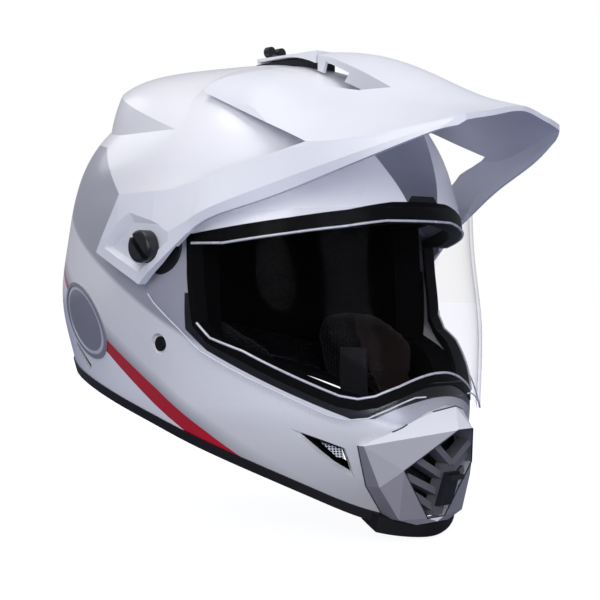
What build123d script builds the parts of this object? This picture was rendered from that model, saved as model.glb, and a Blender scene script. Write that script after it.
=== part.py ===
from build123d import *
from functools import lru_cache
from math import atan2, cos, degrees, pi, sin
import os

# Dual sport helmet. Worn as on a head: +Z up, face towards -Y, wearer's left towards +X.
# Origin: middle of the head between the temples.

# grid square of the side, front and top drawings; every outline below is read on this grid
grid = 100.0

# shell
shell_wall = 4.0
shell_half_width = 119.0
shell_crown = 118.5
shell_front = 123.0
shell_back = 172.0
section_points = 40

# foam and padding, each as a depth under the outside of the shell
foam_gap = 0.3
foam_depth = 33.0
chin_foam_depth = 24.0
pad_depth = 42.0
soft_gap = 0.4

# pivots of shield and peak
pivot_back = 3.0
pivot_drop = 2.0
pivot_pocket_floor = 113.0
pivot_plate_radius = 17.0
pivot_plate_face = 117.2
pivot_boss_radius = 8.0
pivot_boss_end = 106.0
pivot_boss_rise = 5.8
pivot_backing_radius = 20.5
pivot_backing_inner = 109.8
running_clear = 0.05
slide_clear = 0.4

# face shield
shield_wall = 2.2
shield_ear_radius = 21.0
shield_ear_face = 123.2
shield_tab_width = 34.0
shield_tab_height = 9.0
shield_tab_depth = 5.0

# peak and its screws
peak_wall = 3.0
peak_arm_outer = 130.5
peak_arm_floor = 126.6
peak_arm_wall = 5.6
spine_wall = 2.4
knob_radius = 10.0
knob_height = 8.6
knob_dome = 2.4
knob_notch = 3.6
knob_shank_radius = 3.0
knob_shank_end = 108.0
knob_turn = 45.0
washer_radius = 7.0
washer_wall = 1.0

# crown mount
strip_height = 4.4
strip_half_width = 8.5
wedge_gap = 1.4
wing_radius = 5.6
wing_base = 2.4
wing_lobe_radius = 3.6
wing_lobe_wall = 4.4
wing_spread = 4.8
wing_shank_radius = 2.4
wing_seat_clear = 0.4
wing_tip_gap = 1.0
strip_slot_length = 22.0

# rubber
trim_proud = 1.0
trim_inner = 7.0
trim_height = 6.6
chin_trim_proud = 6.5
chin_trim_height = 11.0
chin_trim_half_width = 37.0
gasket_proud = 0.4
gasket_inner = 9.0
brow_proud = 0.6
rim_setback = 8.0

# mouthpiece
mouth_back = 88.0
mouth_seat = 0.3
rib_width = 4.2
rib_depth = 9.0
mesh_wall = 1.6
slider_width = 12.0
slider_depth = 3.4
slider_grip = 3.0

# small fittings
badge_half_length = 33.0
badge_half_height = 20.0
badge_wall = 0.9
badge_rim = 2.6
rivet_radius = 4.6
rivet_seat = 115.2
rivet_bore_radius = 6.4
rivet_reach = 11.0
rivet_head = 1.8
rivet_tail = 1.4
rivet_shank_radius = 2.0
vent_depth = 4.0
strap_width = 25.0
strap_wall = 2.2

# one row per level: height, half width, front, back, place of the widest point, then the two
# powers of the rounded outline ahead of and behind that place
shell_level_shares = [
    (1.185, 0.14, 0.00, 0.30, 0.14, 2.0, 2.0),
    (1.165, 0.30, -0.16, 0.50, 0.14, 2.0, 2.0),
    (1.11, 0.51, -0.35, 0.78, 0.14, 2.0, 2.1),
    (1.01, 0.71, -0.56, 1.08, 0.14, 2.0, 2.15),
    (0.87, 0.88, -0.73, 1.35, 0.14, 1.95, 2.25),
    (0.70, 1.01, -0.86, 1.56, 0.14, 1.90, 2.3),
    (0.50, 1.10, -0.98, 1.70, 0.14, 1.85, 2.3),
    (0.25, 1.16, -1.08, 1.78, 0.14, 1.80, 2.3),
    (0.00, 1.19, -1.10, 1.83, 0.14, 1.86, 2.3),
    (-0.28, 1.20, -1.14, 1.87, 0.14, 1.90, 2.35),
    (-0.50, 1.19, -1.18, 1.85, 0.12, 1.90, 2.35),
    (-0.70, 1.16, -1.20, 1.79, 0.10, 1.85, 2.35),
    (-0.98, 1.11, -1.24, 1.68, 0.08, 1.75, 2.35),
    (-1.12, 1.07, -1.27, 1.60, 0.06, 1.68, 2.35),
    (-1.24, 1.04, -1.245, 1.55, 0.04, 1.66, 2.35),
    (-1.36, 1.01, -1.21, 1.50, 0.02, 1.65, 2.3),
    (-1.48, 0.98, -1.175, 1.45, 0.01, 1.65, 2.3),
    (-1.60, 0.95, -1.14, 1.40, 0.00, 1.65, 2.3),
    (-1.72, 0.925, -1.11, 1.37, -0.01, 1.66, 2.3),
    (-1.81, 0.905, -1.085, 1.35, -0.01, 1.68, 2.3),
    (-1.90, 0.885, -1.06, 1.33, -0.02, 1.70, 2.3),
]

# crown cap, drawn square to a tilted line: same columns, height measured off the tilted plane
cap_slope_share = 0.36
cap_level_shares = [
    (1.12, 0.30, -0.12, 0.40, 0.12, 2.0, 2.0),
    (1.05, 0.48, -0.38, 0.66, 0.12, 2.0, 2.2),
    (0.95, 0.66, -0.55, 0.93, 0.14, 2.0, 2.4),
    (0.83, 0.83, -0.66, 1.22, 0.18, 2.0, 2.6),
    (0.64, 1.00, -0.79, 1.47, 0.20, 2.0, 2.8),
]
cap_skirt_shares = [
    (0.64, 1.00, -0.79, 1.47, 0.20, 2.0, 2.8),
    (0.44, 1.01, -0.84, 1.50, 0.20, 2.0, 2.8),
    (0.26, 1.01, -0.86, 1.47, 0.20, 2.0, 2.8),
]

# lower edge of the shell in side view, from the nape forward
rim_shares = [
    (2.20, -0.66), (1.50, -0.755), (0.97, -0.86), (0.54, -0.97), (0.18, -1.075),
    (-0.03, -1.145), (-0.39, -1.285), (-0.78, -1.485), (-1.03, -1.64), (-1.20, -1.705),
    (-1.80, -1.85),
]

# eye port of the shell in side view
port_shares = [
    (-0.17, 0.05), (-0.39, 0.09), (-0.71, 0.15), (-0.93, 0.20), (-1.04, 0.25), (-1.50, 0.29),
    (-1.50, -0.84), (-1.21, -0.87), (-1.16, -0.93), (-1.09, -0.985), (-1.02, -1.0),
    (-0.94, -0.975), (-0.76, -0.865), (-0.50, -0.705), (-0.31, -0.60), (-0.225, -0.50),
    (-0.185, -0.20),
]

# free opening inside the rubber frame, side view
port_inner_shares = [
    (-0.205, 0.00), (-0.40, 0.00), (-0.71, 0.055), (-0.93, 0.10), (-1.04, 0.135), (-1.50, 0.15),
    (-1.50, -0.76), (-1.21, -0.79), (-1.15, -0.86), (-1.08, -0.915), (-1.02, -0.93),
    (-0.95, -0.91), (-0.78, -0.805), (-0.52, -0.645), (-0.335, -0.57), (-0.255, -0.48),
    (-0.218, -0.20),
]

# face shield: inside surface by level, and its outline in side view
shield_level_shares = [
    (0.40, 1.165, -1.120, 1.70, 0.14, 1.95, 2.3),
    (0.22, 1.195, -1.140, 1.70, 0.14, 1.91, 2.3),
    (0.00, 1.210, -1.150, 1.70, 0.14, 1.90, 2.3),
    (-0.28, 1.219, -1.185, 1.70, 0.14, 1.92, 2.3),
    (-0.50, 1.213, -1.215, 1.70, 0.12, 1.93, 2.3),
    (-0.70, 1.188, -1.240, 1.70, 0.10, 1.90, 2.3),
    (-0.90, 1.155, -1.265, 1.70, 0.09, 1.84, 2.3),
    (-1.15, 1.102, -1.290, 1.70, 0.08, 1.76, 2.3),
]
shield_outline_shares = [
    (-0.12, 0.16), (-0.40, 0.17), (-0.80, 0.20), (-1.50, 0.23),
    (-1.50, -0.905), (-1.24, -0.925), (-1.17, -0.99), (-1.10, -1.04), (-1.02, -1.05),
    (-0.94, -1.02), (-0.74, -0.895), (-0.49, -0.755), (-0.30, -0.645), (-0.17, -0.52),
    (0.03, -0.36), (0.18, -0.20), (0.16, 0.02),
]

shield_tab_place_shares = (-1.285, -0.885)

# peak: stations from the arms forward; each gives centre height and the crown of the plate
# between crest and edge, then half width and height of the crest, plate edge, arm top, crease
# and lower edge
peak_station_shares = [
    (0.62, 1.30, 0.05, (0.46, 1.26), (0.93, 0.98), (1.285, 0.34), (1.30, 0.05), (1.30, -0.34)),
    (0.30, 1.285, 0.05, (0.45, 1.22), (0.90, 0.97), (1.29, 0.335), (1.305, 0.03), (1.305, -0.34)),
    (0.00, 1.27, 0.05, (0.44, 1.16), (0.86, 0.955), (1.24, 0.33), (1.295, 0.00), (1.305, -0.26)),
    (-0.30, 1.25, 0.055, (0.42, 1.12), (0.865, 0.835), (1.14, 0.38), (1.235, 0.14), (1.222, 0.075)),
    (-0.60, 1.215, 0.03, (0.40, 1.035), (0.87, 0.71), (1.00, 0.50), (1.09, 0.28), (1.075, 0.215)),
    (-0.914, 1.13, 0.02, (0.37, 0.94), (0.868, 0.586), (0.880, 0.555), (0.918, 0.40), (0.90, 0.335)),
    (-1.20, 1.01, 0.01, (0.34, 0.86), (0.755, 0.60), (0.765, 0.575), (0.800, 0.495), (0.79, 0.445)),
    (-1.46, 0.895, 0.01, (0.30, 0.80), (0.615, 0.645), (0.625, 0.63), (0.665, 0.585), (0.68, 0.545)),
    (-1.66, 0.83, 0.005, (0.26, 0.77), (0.515, 0.69), (0.52, 0.68), (0.545, 0.65), (0.557, 0.628)),
    (-1.90, 0.765, 0.0, (0.22, 0.735), (0.43, 0.70), (0.435, 0.69), (0.45, 0.66), (0.457, 0.635)),
]
peak_front_shares = [
    (0.0, -1.83), (0.30, -1.80), (0.45, -1.765), (0.60, -1.62), (1.60, -0.65), (1.60, 1.60),
]
peak_top_cut_shares = [
    (0.0, -0.35), (0.19, -0.35), (0.295, -1.07), (0.40, -0.90), (0.46, -0.70), (0.50, -0.49),
    (0.52, -0.23), (0.82, -0.01), (1.60, 0.05), (1.60, 1.40), (0.0, 1.40),
]
peak_window_shares = [
    (-0.914, 0.586), (-0.01, 0.95), (0.90, 1.35), (0.90, 0.305), (0.295, 0.305), (-0.11, 0.325),
    (-0.32, 0.382), (-0.56, 0.49), (-0.74, 0.53),
]
peak_arm_cut_shares = [
    (-0.28, 0.06), (0.09, -0.25), (0.515, -0.05), (0.295, 0.305), (0.295, 0.60), (1.20, 0.60),
    (1.20, -1.0), (-0.60, -1.0), (-0.60, 0.0),
]
arm_pocket_shares = [(0.225, 0.285), (-0.40, 0.24), (0.09, -0.185), (0.44, -0.025)]
arm_floor_shares = [(0.17, 0.13), (-0.26, 0.10), (0.085, -0.16), (0.39, -0.015)]
spine_wall_shares = [(-0.35, 1.40), (-0.35, 1.115), (-0.70, 0.985), (-1.07, 0.83), (-1.07, 1.40)]
spine_edge_shares = ((0.19, -0.35), (0.295, -1.07))
peak_arm_start_share = -0.20
peak_band_start_share = -0.90
peak_join_share = -0.30
peak_cut_floor_share = 0.45
peak_window_inner_share = 0.60
spine_slot_shares = [(-0.43, 1.165), (-0.67, 1.065), (-0.62, 1.01), (-0.405, 1.085)]

# crown wedge corners: half width, place along the helmet, height
wedge_corner_shares = {
    "tail_low": (0.075, 0.34, 1.12), "tail_top": (0.07, 0.34, 1.268),
    "nose_low": (0.25, -0.335, 0.98), "nose_top": (0.18, -0.335, 1.246),
}
wing_place_share = 0.24
wing_seat_share = 1.264
strip_shares = (-0.24, 0.33)

# mouthpiece corners: half width, place along the helmet, height
mouth_corner_shares = {
    "cheek": (0.515, -1.05, -1.21), "jaw": (0.43, -1.10, -1.46), "low": (0.30, -1.14, -1.665),
    "foot": (0.15, -1.15, -1.71), "beak": (0.14, -1.27, -1.015),
    "side": (0.32, -1.20, -1.36), "top": (0.067, -1.41, -1.12), "heel": (0.08, -1.18, -1.675),
}
beak_middle_share = (-1.33, -0.985)
chin_middle_share = (-1.19, -1.70)
grille_rib_shares = [
    ((0.0, -1.305, -1.335), (0.17, -1.315, -1.205)),
    ((0.0, -1.26, -1.43), (0.255, -1.225, -1.285)),
    ((0.0, -1.225, -1.53), (0.27, -1.18, -1.40)),
    ((0.0, -1.185, -1.63), (0.19, -1.165, -1.52)),
]
slider_top_shares = (-1.322, -1.385)
slider_low_shares = (-1.251, -1.595)
mouth_mesh_place_shares = (-1.165, -1.115, -1.06)
mouth_window_shares = [(0.08, -1.10), (0.335, -1.36), (0.09, -1.69)]
grille_post_shares = [(-1.30, -1.335), (-1.19, -1.66)]

# side exhaust vent: middle of the vent, its outward direction, and outlines on its own plane
exhaust_middle_share = (0.60, -0.875, -1.24)
exhaust_out_share = (0.76, -0.64, -0.10)
exhaust_rim_shares = [(-0.29, 0.155), (0.085, 0.02), (0.20, -0.27), (-0.01, -0.10)]
exhaust_floor_shares = [(-0.12, 0.065), (0.055, 0.005), (0.105, -0.135), (0.01, -0.065)]
exhaust_bar_shares = [(-0.09, 0.055), (0.05, 0.003), (0.065, -0.06), (0.02, -0.05)]

badge_place_shares = (0.90, -0.49)
badge_turn = 34.0
rivet_place_shares = (0.055, -0.615)
slit_shares = [(1.13, -0.675), (1.10, -0.635), (0.89, -0.785), (0.91, -0.83)]
brow_vent_shares = (0.10, 0.145)
brow_vent_height_shares = (0.29, 0.24)

# padding outlines in side view
foam_port_shares = [
    (-0.10, 0.14), (-0.45, 0.19), (-1.60, 0.42), (-1.60, -1.00), (-1.02, -1.04), (-0.50, -0.74),
    (-0.14, -0.62),
]
chin_split_shares = [(-0.26, -0.40), (-0.26, -2.40), (-2.00, -2.40), (-2.00, -0.40)]
cheek_shares = [
    (-0.56, -0.70), (-0.20, -0.56), (0.10, -0.44), (0.42, -0.46), (0.50, -0.60), (0.40, -0.92),
    (0.00, -1.00), (-0.34, -1.16), (-0.60, -1.10), (-0.66, -0.90),
]
cheek_face_share = 0.60
crown_pad_low_share = 0.28
neck_shares = [(0.50, -1.20), (0.62, -0.68), (1.90, -0.42), (1.90, -1.20)]
neck_roll_shares = [(0.60, -0.90), (0.64, -0.70), (1.90, -0.44), (1.90, -0.62), (1.00, -0.80)]
neck_depth = 30.0
strap_shares = [
    (1.06, -0.54), (1.06, -0.80), (1.02, -0.99), (0.95, -1.07), (0.80, -1.085), (0.63, -1.08),
    (0.583, -1.04), (0.583, -0.70),
]
strap_slot_shares = [
    (1.035, -0.50), (1.085, -0.50), (1.085, -1.20), (0.50, -1.20), (0.50, -1.02), (0.96, -1.02), (0.99, -0.98),
]
strap_place_share = 0.055


def flat(points):
    return [(grid * a, grid * b) for a, b in points]


def spot(shares, side=1):
    return Vector(side * grid * shares[0], grid * shares[1], grid * shares[2])


def power_ring(height, half_width, front, back, middle, front_power, back_power):
    """Closed spline: two power ellipses meeting where the helmet is widest."""
    points = []
    for count in range(section_points):
        turn = 2 * pi * count / section_points
        across, along = sin(turn), cos(turn)
        power = back_power if along > 0 else front_power
        reach = back - middle if along > 0 else middle - front
        size = (abs(across) ** power + abs(along) ** power) ** (-1 / power)
        points.append(Vector(half_width * size * across, middle + reach * size * along, height))
    steps = [count / section_points for count in range(section_points + 1)]
    return Wire([Edge.make_spline(points, periodic=True, parameters=steps)])


def level_rings(rows, inset):
    """Rings of the level table, drawn in by an inset that stays even all round."""
    rings = []
    for high, wide, front, back, middle, front_power, back_power in rows:
        width_ratio = (shell_half_width - inset) / shell_half_width
        front_ratio = (shell_front - inset) / shell_front
        back_ratio = (shell_back - inset) / shell_back
        crown_ratio = (shell_crown - inset) / shell_crown if high > 0 else 1
        rings.append(power_ring(
            grid * high * crown_ratio, grid * wide * width_ratio,
            grid * (middle + (front - middle) * front_ratio),
            grid * (middle + (back - middle) * back_ratio),
            grid * middle, front_power, back_power))
    return rings


@lru_cache(maxsize=None)
def shell_form(inset=0.0):
    return Solid.make_loft(level_rings(shell_level_shares, inset))


def crown_cap():
    """Raised crown whose lower edge makes the sharp line round the back of the head."""
    tilt = degrees(atan2(cap_slope_share, 1))
    upper = Solid.make_loft(level_rings(cap_level_shares, 0.0))
    skirt = Solid.make_loft(level_rings(cap_skirt_shares, 0.0))
    return (upper + skirt).rotate(Axis.X, tilt)


def side_prism(points, inner=None, outer=None):
    """Side-view outline pushed along X: right through, or between two distances on both sides."""
    face = Plane.YZ * make_face(Polyline(*points, close=True))
    if inner is None:
        return extrude(face, amount=grid * 2, both=True)
    left = extrude(Pos(inner, 0, 0) * face, amount=outer - inner, dir=(1, 0, 0))
    return left + mirror(left, about=Plane.YZ)


def front_prism(points, reach):
    """Front-view outline pushed forward from the middle of the head."""
    face = Plane.XZ * make_face(Polyline(*points, close=True))
    return extrude(face, amount=reach, dir=(0, -1, 0))


def one_side(solid, side):
    box = Pos(side * grid * 2, 0, 0) * Box(grid * 4, grid * 8, grid * 8)
    return solid & box


def under_rim(drop=0.0):
    """Everything below the shell's lower edge, moved down by a drop."""
    points = [(y, z - drop) for y, z in flat(rim_shares)]
    edge = Spline(*points)
    low = -grid * 4
    frame = Polyline(points[-1], (points[-1][0], low), (points[0][0], low), points[0])
    face = Plane.YZ * make_face(Curve() + [edge, frame])
    return extrude(face, amount=grid * 2, both=True)


def pivot_rod(radius, start, end, side):
    """Cylinder on the pivot axis between two distances from the middle plane."""
    rod = Cylinder(radius, end - start, rotation=(0, 90, 0))
    return Pos(side * (start + end) / 2, pivot_back, -pivot_drop) * rod


def vent_plane(side):
    """Plane lying on the chin bar at the exhaust vent, x pointing back along the bar."""
    middle = spot(exhaust_middle_share, side)
    out = Vector(side * exhaust_out_share[0], exhaust_out_share[1], exhaust_out_share[2])
    back = Vector(-side * exhaust_out_share[1], exhaust_out_share[0], 0)
    return Plane(origin=middle, x_dir=back, z_dir=out)


def vent_prism(points, side, lift, depth):
    """Outline on the vent's plane, pushed into the shell from a lift above it."""
    inward = -vent_plane(side).z_dir
    return extrude(vent_outline(points, side, lift), amount=depth, dir=inward)


def vent_outline(points, side, lift):
    """Face on the vent's plane, raised by a lift; the drawing's x runs forward, its y up."""
    frame = vent_plane(side)
    hand = frame.y_dir.Z / abs(frame.y_dir.Z)
    moved = [(-a, b * hand) for a, b in flat(points)]
    return frame.offset(lift) * make_face(Polyline(*moved, close=True))


def brow_slot():
    """Trapezoid in the brow, wider at its lower side."""
    half_top, half_low = brow_vent_shares
    top, low = brow_vent_height_shares
    points = flat([(half_low, low), (half_top, top), (-half_top, top), (-half_low, low)])
    return front_prism(points, grid * 2)


def mouth_window():
    right = flat(mouth_window_shares)
    return front_prism(right + [(-a, b) for a, b in reversed(right)], grid * 2)


@lru_cache(maxsize=None)
def outside_form():
    return shell_form() + crown_cap()


def outer_shell():
    shell = outside_form() - shell_form(shell_wall) - under_rim()
    shell -= side_prism(flat(port_shares))
    shell -= mouth_window()
    for side in (1, -1):
        shell += pivot_rod(pivot_backing_radius, pivot_backing_inner, pivot_pocket_floor, side)
        shell -= pivot_rod(pivot_plate_radius + running_clear, pivot_pocket_floor, grid * 2, side)
        shell -= pivot_rod(pivot_boss_radius + running_clear, grid, grid * 2, side)
        big = vent_outline(exhaust_rim_shares, side, vent_depth)
        small = vent_outline(exhaust_floor_shares, side, -vent_depth)
        shell -= loft([big, small])
        shell -= vent_prism(exhaust_floor_shares, side, vent_depth, 4 * vent_depth)
        shell -= rivet_rod(rivet_shank_radius + running_clear, shell_half_width / 2, grid * 2, side)
        shell -= rivet_rod(rivet_bore_radius, rivet_seat, grid * 2, side)
    shell -= side_prism(flat(slit_shares), shell_half_width / 2, grid * 2)
    return shell - brow_slot()


def rivet_rod(radius, start, end, side):
    rod = Cylinder(radius, end - start, rotation=(0, 90, 0))
    y, z = flat([rivet_place_shares])[0]
    return Pos(side * (start + end) / 2, y, z) * rod


def foam_liner():
    liner = shell_form(shell_wall + foam_gap) - shell_form(foam_depth)
    liner -= under_rim(-rim_setback) + side_prism(flat(foam_port_shares))
    liner -= side_prism(flat(chin_split_shares)) + side_prism(flat(neck_shares))
    for side in (1, -1):
        liner -= pivot_rod(pivot_backing_radius + foam_gap, pivot_backing_inner - foam_gap, grid * 2, side)
        liner -= pivot_rod(pivot_boss_radius + foam_gap, pivot_boss_end - foam_gap, grid * 2, side)
        liner -= rivet_rod(rivet_radius + foam_gap, rivet_seat - 2 * rivet_reach, grid * 2, side)
        liner -= strap_slot(side)
    return liner


def chin_foam():
    foam = shell_form(shell_wall + foam_gap) - shell_form(chin_foam_depth)
    foam &= Pos(0, -foam_gap, 0) * side_prism(flat(chin_split_shares))
    foam -= side_prism(flat(foam_port_shares)) + under_rim(-rim_setback)
    foam -= mouth_window()
    for side in (1, -1):
        foam -= vent_prism(exhaust_floor_shares, side, vent_depth, 9 * vent_depth)
    return foam


def crown_pad():
    pad = shell_form(foam_depth + soft_gap) - shell_form(pad_depth)
    low = Pos(0, 0, grid * (crown_pad_low_share - 2)) * Box(grid * 4, grid * 4, grid * 4)
    return pad - low


def cheek_pad(side):
    y_z = flat(cheek_shares)
    block = one_side(side_prism(y_z, grid * cheek_face_share, shell_half_width), side)
    return block & shell_form(foam_depth + soft_gap)


def neck_roll():
    roll = shell_form(shell_wall + soft_gap) - shell_form(neck_depth)
    return roll & side_prism(flat(neck_roll_shares))


def chin_zone():
    return Pos(0, -grid * 1.5, -grid * 1.5) * Box(2 * chin_trim_half_width, grid * 2, grid * 2)


def rim_trim():
    band = shell_form(-trim_proud) - shell_form(trim_inner)
    return (band & under_rim()) - under_rim(trim_height) - chin_zone()


def chin_trim(cover):
    band = shell_form(-chin_trim_proud) - shell_form(trim_inner)
    lip = (band & under_rim() & chin_zone()) - under_rim(chin_trim_height)
    return lip - cover - mouth_tunnel()


def port_gasket():
    ring = side_prism(flat(port_shares)) - side_prism(flat(port_inner_shares))
    return ring & (shell_form(-gasket_proud) - shell_form(gasket_inner))


def brow_vent_foam():
    block = brow_slot() - side_prism(flat(port_shares))
    return block & (shell_form(-brow_proud) - shell_form(shell_wall))


def shield_rings(extra):
    rings = []
    for high, wide, front, back, middle, front_power, back_power in shield_level_shares:
        rings.append(power_ring(grid * high, grid * wide + extra, grid * front - extra, grid * back,
                                grid * middle, front_power, back_power))
    return rings


def face_shield():
    """The outer form is trimmed to its outline first, then hollowed."""
    inside = Solid.make_loft(shield_rings(0))
    skin = Solid.make_loft(shield_rings(shield_wall)) & side_prism(flat(shield_outline_shares))
    skin -= inside
    for side in (1, -1):
        skin += pivot_rod(shield_ear_radius, shield_ear_face - shield_wall, shield_ear_face, side)
    y, z = flat([shield_tab_place_shares])[0]
    tab = Pos(0, y, z) * Box(shield_tab_width, shield_tab_depth, shield_tab_height)
    tab = fillet(tab.edges(), shield_tab_depth / 4)
    skin += tab - inside
    for side in (1, -1):
        skin -= pivot_rod(pivot_boss_radius + running_clear, grid, grid * 2, side)
    return skin


def pivot_plate(side):
    plate = pivot_rod(pivot_plate_radius, pivot_pocket_floor, pivot_plate_face, side)
    plate += pivot_rod(pivot_boss_radius, pivot_boss_end, pivot_plate_face + pivot_boss_rise, side)
    plate -= pivot_rod(knob_shank_radius + running_clear, grid, grid * 2, side)
    return plate


def peak_ring(row):
    """Closed outline of the peak at one station: outside over the top, inside back under it."""
    place, middle, lift = grid * row[0], grid * row[1], grid * row[2]
    crest, plate, arm, crease, low = [(grid * a, grid * b) for a, b in row[3:]]
    thick = peak_wall if row[0] < peak_arm_start_share else peak_arm_wall
    shoulder = (plate[0] - peak_wall * 0.8, plate[1] - peak_wall)
    foot = (low[0] - thick, low[1])
    arm_in, crease_in = (arm[0] - thick, arm[1] - peak_wall / 2), (crease[0] - thick, crease[1])
    if row[0] < peak_band_start_share:
        arm_in = ((2 * shoulder[0] + foot[0]) / 3, (2 * shoulder[1] + foot[1]) / 3)
        crease_in = ((shoulder[0] + 2 * foot[0]) / 3, (shoulder[1] + 2 * foot[1]) / 3)
    crest_in = (crest[0] - peak_wall / 4, crest[1] - peak_wall)

    def at(pair, side=1):
        return Vector(side * pair[0], place, pair[1])

    def line(first, second, side=1):
        return Edge.make_line(at(first, side), at(second, side))

    def over(edge, top, high, way):
        """Curve across the plate from one edge to the other through both crests."""
        mid = ((edge[0] + top[0]) / 2, (edge[1] + top[1]) / 2 + lift)
        points = [at(edge, -way), at(mid, -way), at(top, -way), at((0, high)), at(top, way),
                  at(mid, way), at(edge, way)]
        return Edge.make_spline(points)

    outer = [line(low, crease, -1), line(crease, arm, -1), line(arm, plate, -1),
             over(plate, crest, middle, 1),
             line(plate, arm), line(arm, crease), line(crease, low)]
    inner = [line(foot, crease_in), line(crease_in, arm_in), line(arm_in, shoulder),
             over(shoulder, crest_in, middle - peak_wall, -1),
             line(shoulder, arm_in, -1), line(arm_in, crease_in, -1), line(crease_in, foot, -1)]
    return Wire(outer + [line(low, foot)] + inner + [line(foot, low, -1)])


def mirrored(points):
    return points + [(-a, b) for a, b in reversed(points) if a]


def peak():
    """Arms and top plate lofted apart, cut to their outlines, then joined with the spine's walls."""
    arms = [peak_ring(row) for row in peak_station_shares if row[0] >= peak_join_share]
    plate = [peak_ring(row) for row in peak_station_shares if row[0] <= peak_join_share]
    core = [peak_core(row) for row in peak_station_shares if row[0] <= peak_join_share]
    top = make_face(Polyline(*mirrored(flat(peak_top_cut_shares)), close=True))
    cuts = [extrude(Pos(0, 0, grid * peak_cut_floor_share) * top, amount=grid * 2, dir=(0, 0, 1)),
            side_prism(flat(peak_window_shares), grid * peak_window_inner_share, grid * 2),
            side_prism(flat(peak_arm_cut_shares), grid * peak_window_inner_share, grid * 2)]
    body = spine_walls() & Solid.make_loft(core)
    for piece in (Solid.make_loft(plate), Solid.make_loft(arms, ruled=True)):
        for cut in cuts:
            piece -= cut
        body += piece
    front = make_face(Polyline(*mirrored(flat(peak_front_shares)), close=True))
    body &= extrude(Pos(0, 0, -grid * 2) * front, amount=grid * 4, dir=(0, 0, 1))
    for side in (1, -1):
        high = Pos(side * (peak_arm_outer + peak_wall / 3), 0, 0)
        floor = Pos(side * peak_arm_floor, 0, 0)
        big = high * (Plane.YZ * make_face(Polyline(*flat(arm_pocket_shares), close=True)))
        small = floor * (Plane.YZ * make_face(Polyline(*flat(arm_floor_shares), close=True)))
        body -= loft([small, big])
        body -= pivot_rod(knob_shank_radius + running_clear, grid, grid * 2, side)
        body -= pivot_rod(shield_ear_radius + slide_clear, grid, shield_ear_face + slide_clear, side)
        body -= pivot_rod(knob_radius + slide_clear, peak_arm_floor, grid * 2, side)
    return body


def peak_core(row):
    """Everything under the outside of the peak's top at one station."""
    place, middle, lift = grid * row[0], grid * row[1], grid * row[2]
    crest, plate = [(grid * a, grid * b) for a, b in row[3:5]]
    mid = ((plate[0] + crest[0]) / 2, (plate[1] + crest[1]) / 2 + lift)

    def at(pair, side=1):
        return Vector(side * pair[0], place, pair[1])

    top = Edge.make_spline([at(plate, -1), at(mid, -1), at(crest, -1), at((0, middle)), at(crest),
                            at(mid), at(plate)])
    foot = (plate[0], 0)
    return Wire([top, Edge.make_line(at(plate), at(foot)), Edge.make_line(at(foot), at(foot, -1)),
                 Edge.make_line(at(foot, -1), at(plate, -1))])


def spine_walls():
    """Two upright walls hanging from the edges of the spine, each with its slot."""
    walls = None
    start, end = [(grid * a, grid * b) for a, b in spine_edge_shares]
    for side in (1, -1):
        outline = [(side * start[0], start[1]), (side * end[0], end[1]),
                   (side * (end[0] - spine_wall), end[1]), (side * (start[0] - spine_wall), start[1])]
        wall = extrude(make_face(Polyline(*outline, close=True)), amount=grid * 2, dir=(0, 0, 1))
        walls = wall if walls is None else walls + wall
    walls &= side_prism(flat(spine_wall_shares))
    return walls - side_prism(flat(spine_slot_shares))


def side_knob(side):
    """Thumb screw: domed head with a finger notch across it, shank through arm and ear."""
    start = peak_arm_floor + washer_wall + running_clear
    end = start + knob_height
    head = pivot_rod(knob_radius, start, end, side)
    rims = head.edges().group_by(Axis.X)[-1 if side > 0 else 0]
    head = fillet(rims, knob_dome)
    notch = Box(knob_height, knob_radius * 4, knob_notch, rotation=(knob_turn, 0, 0))
    place = Pos(side * (end + knob_height / 8), pivot_back, -pivot_drop)
    head -= place * notch
    return head + pivot_rod(knob_shank_radius, knob_shank_end, start, side)


def side_washer(side):
    ring = pivot_rod(washer_radius, peak_arm_floor, peak_arm_floor + washer_wall, side)
    return ring - pivot_rod(knob_shank_radius + running_clear, grid, grid * 2, side)


def crown_strip():
    low, high = [grid * s for s in strip_shares]
    block = Pos(0, (low + high) / 2, shell_crown) * Box(2 * strip_half_width, high - low, grid)
    strip = block & (shell_form(-strip_height) - outside_form())
    y = grid * wing_place_share
    slot = SlotOverall(strip_slot_length, 2 * (wing_shank_radius + slide_clear), rotation=90)
    return strip - Pos(0, y, 0) * extrude(slot, amount=grid * 2)


def quad_prism(first, second):
    """Solid between two four-cornered outlines."""
    return Solid.make_loft([Wire.make_polygon(first), Wire.make_polygon(second)], ruled=True)


def crown_wedge():
    low_tail, top_tail, low_nose, top_nose = [wedge_corner_shares[k] for k in (
        "tail_low", "tail_top", "nose_low", "nose_top")]
    ends = []
    for low, top in ((low_tail, top_tail), (low_nose, top_nose)):
        ends.append([spot(low), spot(top), spot(top, -1), spot(low, -1)])
    wedge = quad_prism(*ends)
    wedge -= shell_form(-strip_height - wedge_gap)
    y, z = grid * wing_place_share, grid * wing_seat_share
    seat = Pos(0, y, z + grid) * Cylinder(wing_radius + wing_seat_clear, grid * 2)
    wedge -= seat
    return wedge - Pos(0, y, z) * Cylinder(wing_shank_radius + running_clear, grid)


def wing_screw():
    """Top thumb screw: round base, two lobes, shank down into the strip's slot."""
    y, seat = grid * wing_place_share, grid * wing_seat_share
    screw = Pos(0, y, seat + wing_base / 2) * Cylinder(wing_radius, wing_base)
    for way in (1, -1):
        lobe = Cylinder(wing_lobe_radius, wing_lobe_wall, rotation=(90, 0, 0))
        lobe = Pos(way * wing_spread, y, seat + wing_base + wing_lobe_radius / 2) * lobe
        screw += lobe - Pos(0, y, seat - grid / 2) * Cylinder(grid, grid)
    low, high = shell_crown, seat + wing_base / 2
    shank = Pos(0, y, (low + high) / 2) * Cylinder(wing_shank_radius, high - low)
    return screw + (shank - Pos(0, 0, wing_tip_gap) * outside_form())


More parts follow.
